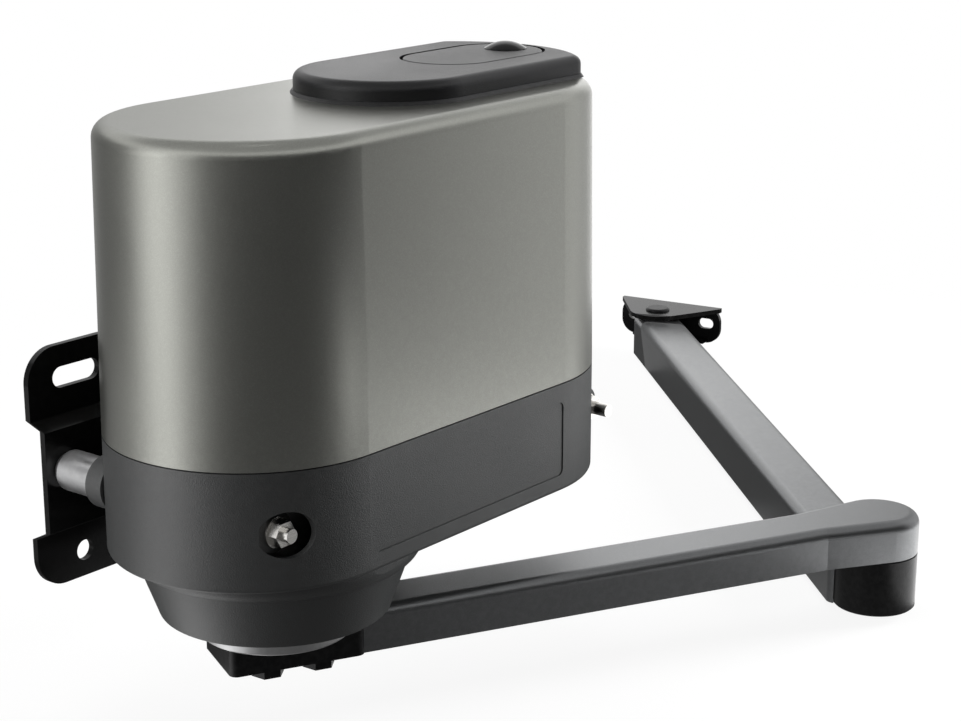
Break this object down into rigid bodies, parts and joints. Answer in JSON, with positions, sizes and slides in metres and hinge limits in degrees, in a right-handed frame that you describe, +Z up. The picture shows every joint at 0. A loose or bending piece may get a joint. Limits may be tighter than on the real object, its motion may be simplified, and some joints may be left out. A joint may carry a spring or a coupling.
{
  "type": "articulated arm gate opener",
  "caption": "Articulated arm opener for swing gates: housing on a wall bracket, two jointed arms under it and a gate bracket.",
  "frame": {"origin": "centre of the wall bracket's back face, where it meets the wall", "axes": "+Y out of the back face into the wall, +Z up, +X along the housing towards the gate side"},
  "size_m": [0.9237, 0.5362, 0.377],
  "materials": {
    "bracket_black": "gloss black paint",
    "base_plastic": "fine textured moulding",
    "cover_grey": "satin metallic",
    "cap_black": "fine textured moulding",
    "dome_black": "gloss",
    "rubber": "matt",
    "zinc": "zinc plated",
    "cast_aluminium": "as cast",
    "steel": "ground",
    "bronze": "sintered",
    "arm_grey": "satin metallic",
    "arm_black": "satin",
    "lock_metal": "plated",
    "magnet": "ferrite",
    "board_green": "circuit board",
    "terminal_green": "moulding",
    "coil_yellow": "taped",
    "gland_grey": "moulding"
  },
  "bodies": {
    "housing": {"wall_bracket": "bracket_black", "mounting_screws": "zinc", "flange_nuts": "zinc", "gear_casing": "cast_aluminium", "casing_lid": "cast_aluminium", "lid_screws": "zinc", "base_shell": "base_plastic", "cover_seal": "rubber", "cover": "cover_grey", "top_cap": "cap_black", "lever_pin": "steel", "output_bushes": "bronze", "output_seal": "rubber", "idler_bushes": "bronze", "worm_bearings": "steel", "motor_can": "steel", "motor_magnets": "magnet", "motor_end_bell": "cast_aluminium", "brushes": "magnet", "board_carrier": "zinc", "control_board": "board_green", "terminal_block": "terminal_green", "transformer": "coil_yellow", "limit_switches": "magnet", "cable_gland": "gland_grey"},
    "motor_arm_body": {"output_shaft": "steel", "output_gear": "steel", "output_flange": "cast_aluminium", "limit_cam": "magnet", "arm_root": "arm_black", "root_bolts": "arm_black", "motor_arm": "arm_grey", "elbow_pin": "steel", "elbow_screw": "zinc"},
    "gate_arm_body": {"elbow_knuckle": "arm_black", "elbow_bushes": "bronze", "gate_arm": "arm_grey", "gate_pin_bush": "bronze"},
    "gate_bracket_body": {"gate_bracket": "bracket_black", "gate_pin": "arm_black", "pin_clip": "steel", "pin_washer": "steel"},
    "idler": {"idler_shaft": "steel", "worm_wheel": "bronze"},
    "rotor": {"worm_shaft": "steel", "armature": "steel"},
    "clutch": {"clutch_sleeve": "steel"},
    "fork": {"release_fork": "zinc"},
    "lever": {"release_lever": "cap_black"},
    "barrel": {"lock_barrel": "lock_metal"},
    "dome": {"lock_dome": "dome_black"}
  },
  "joints": [
    {"name": "motor_arm_turn", "type": "hinge", "parent": "housing", "child": "motor_arm_body", "pos_m": [-0.081, -0.12, -0.076], "axis": [0, 0, 1], "range_deg": [-115, 30]},
    {"name": "elbow_turn", "type": "hinge", "parent": "motor_arm_body", "child": "gate_arm_body", "pos_m": [0.28999, -0.30821, -0.106], "axis": [0, 0, 1], "range_deg": [-70, 75]},
    {"name": "gate_pin_turn", "type": "hinge", "parent": "gate_arm_body", "child": "gate_bracket_body", "pos_m": [0.70171, 0.14593, -0.1045], "axis": [0, 0, 1], "range_deg": [-45, 115]},
    {"name": "idler_turn", "type": "hinge", "parent": "housing", "child": "idler", "pos_m": [-0.02471, -0.14993, 0], "axis": [0, 0, 1], "range_deg": [-72.5, 276.5]},
    {"name": "rotor_turn", "type": "hinge", "parent": "housing", "child": "rotor", "pos_m": [0, -0.10493, 0.024], "axis": [1, 0, 0], "range_deg": [-2597, 9941]},
    {"name": "clutch_lift", "type": "slide", "parent": "idler", "child": "clutch", "axis": [0, 0, 1], "range_m": [-0.0001, 0.00921]},
    {"name": "fork_lift", "type": "slide", "parent": "housing", "child": "fork", "axis": [0, 0, 1], "range_m": [-0.0001, 0.00921]},
    {"name": "release_lever_lift", "type": "hinge", "parent": "housing", "child": "lever", "pos_m": [0.054, -0.122, 0.2215], "axis": [0, -1, 0], "range_deg": [0, 45]},
    {"name": "lock_turn", "type": "hinge", "parent": "lever", "child": "barrel", "pos_m": [0.13, -0.122, 0.218], "axis": [0, 0, 1], "range_deg": [0, 90]},
    {"name": "lock_dome_swing", "type": "hinge", "parent": "lever", "child": "dome", "pos_m": [0.1205, -0.122, 0.221], "axis": [0, 0, 1], "range_deg": [0, 110]}
  ],
  "couplings": [
    {"joint": "idler_turn", "follows": "motor_arm_turn", "ratio": -2.4},
    {"joint": "rotor_turn", "follows": "motor_arm_turn", "ratio": -86.4},
    {"joint": "clutch_lift", "follows": "release_lever_lift", "m_per_rad": 0.011597},
    {"joint": "fork_lift", "follows": "release_lever_lift", "m_per_rad": 0.011597}
  ]
}
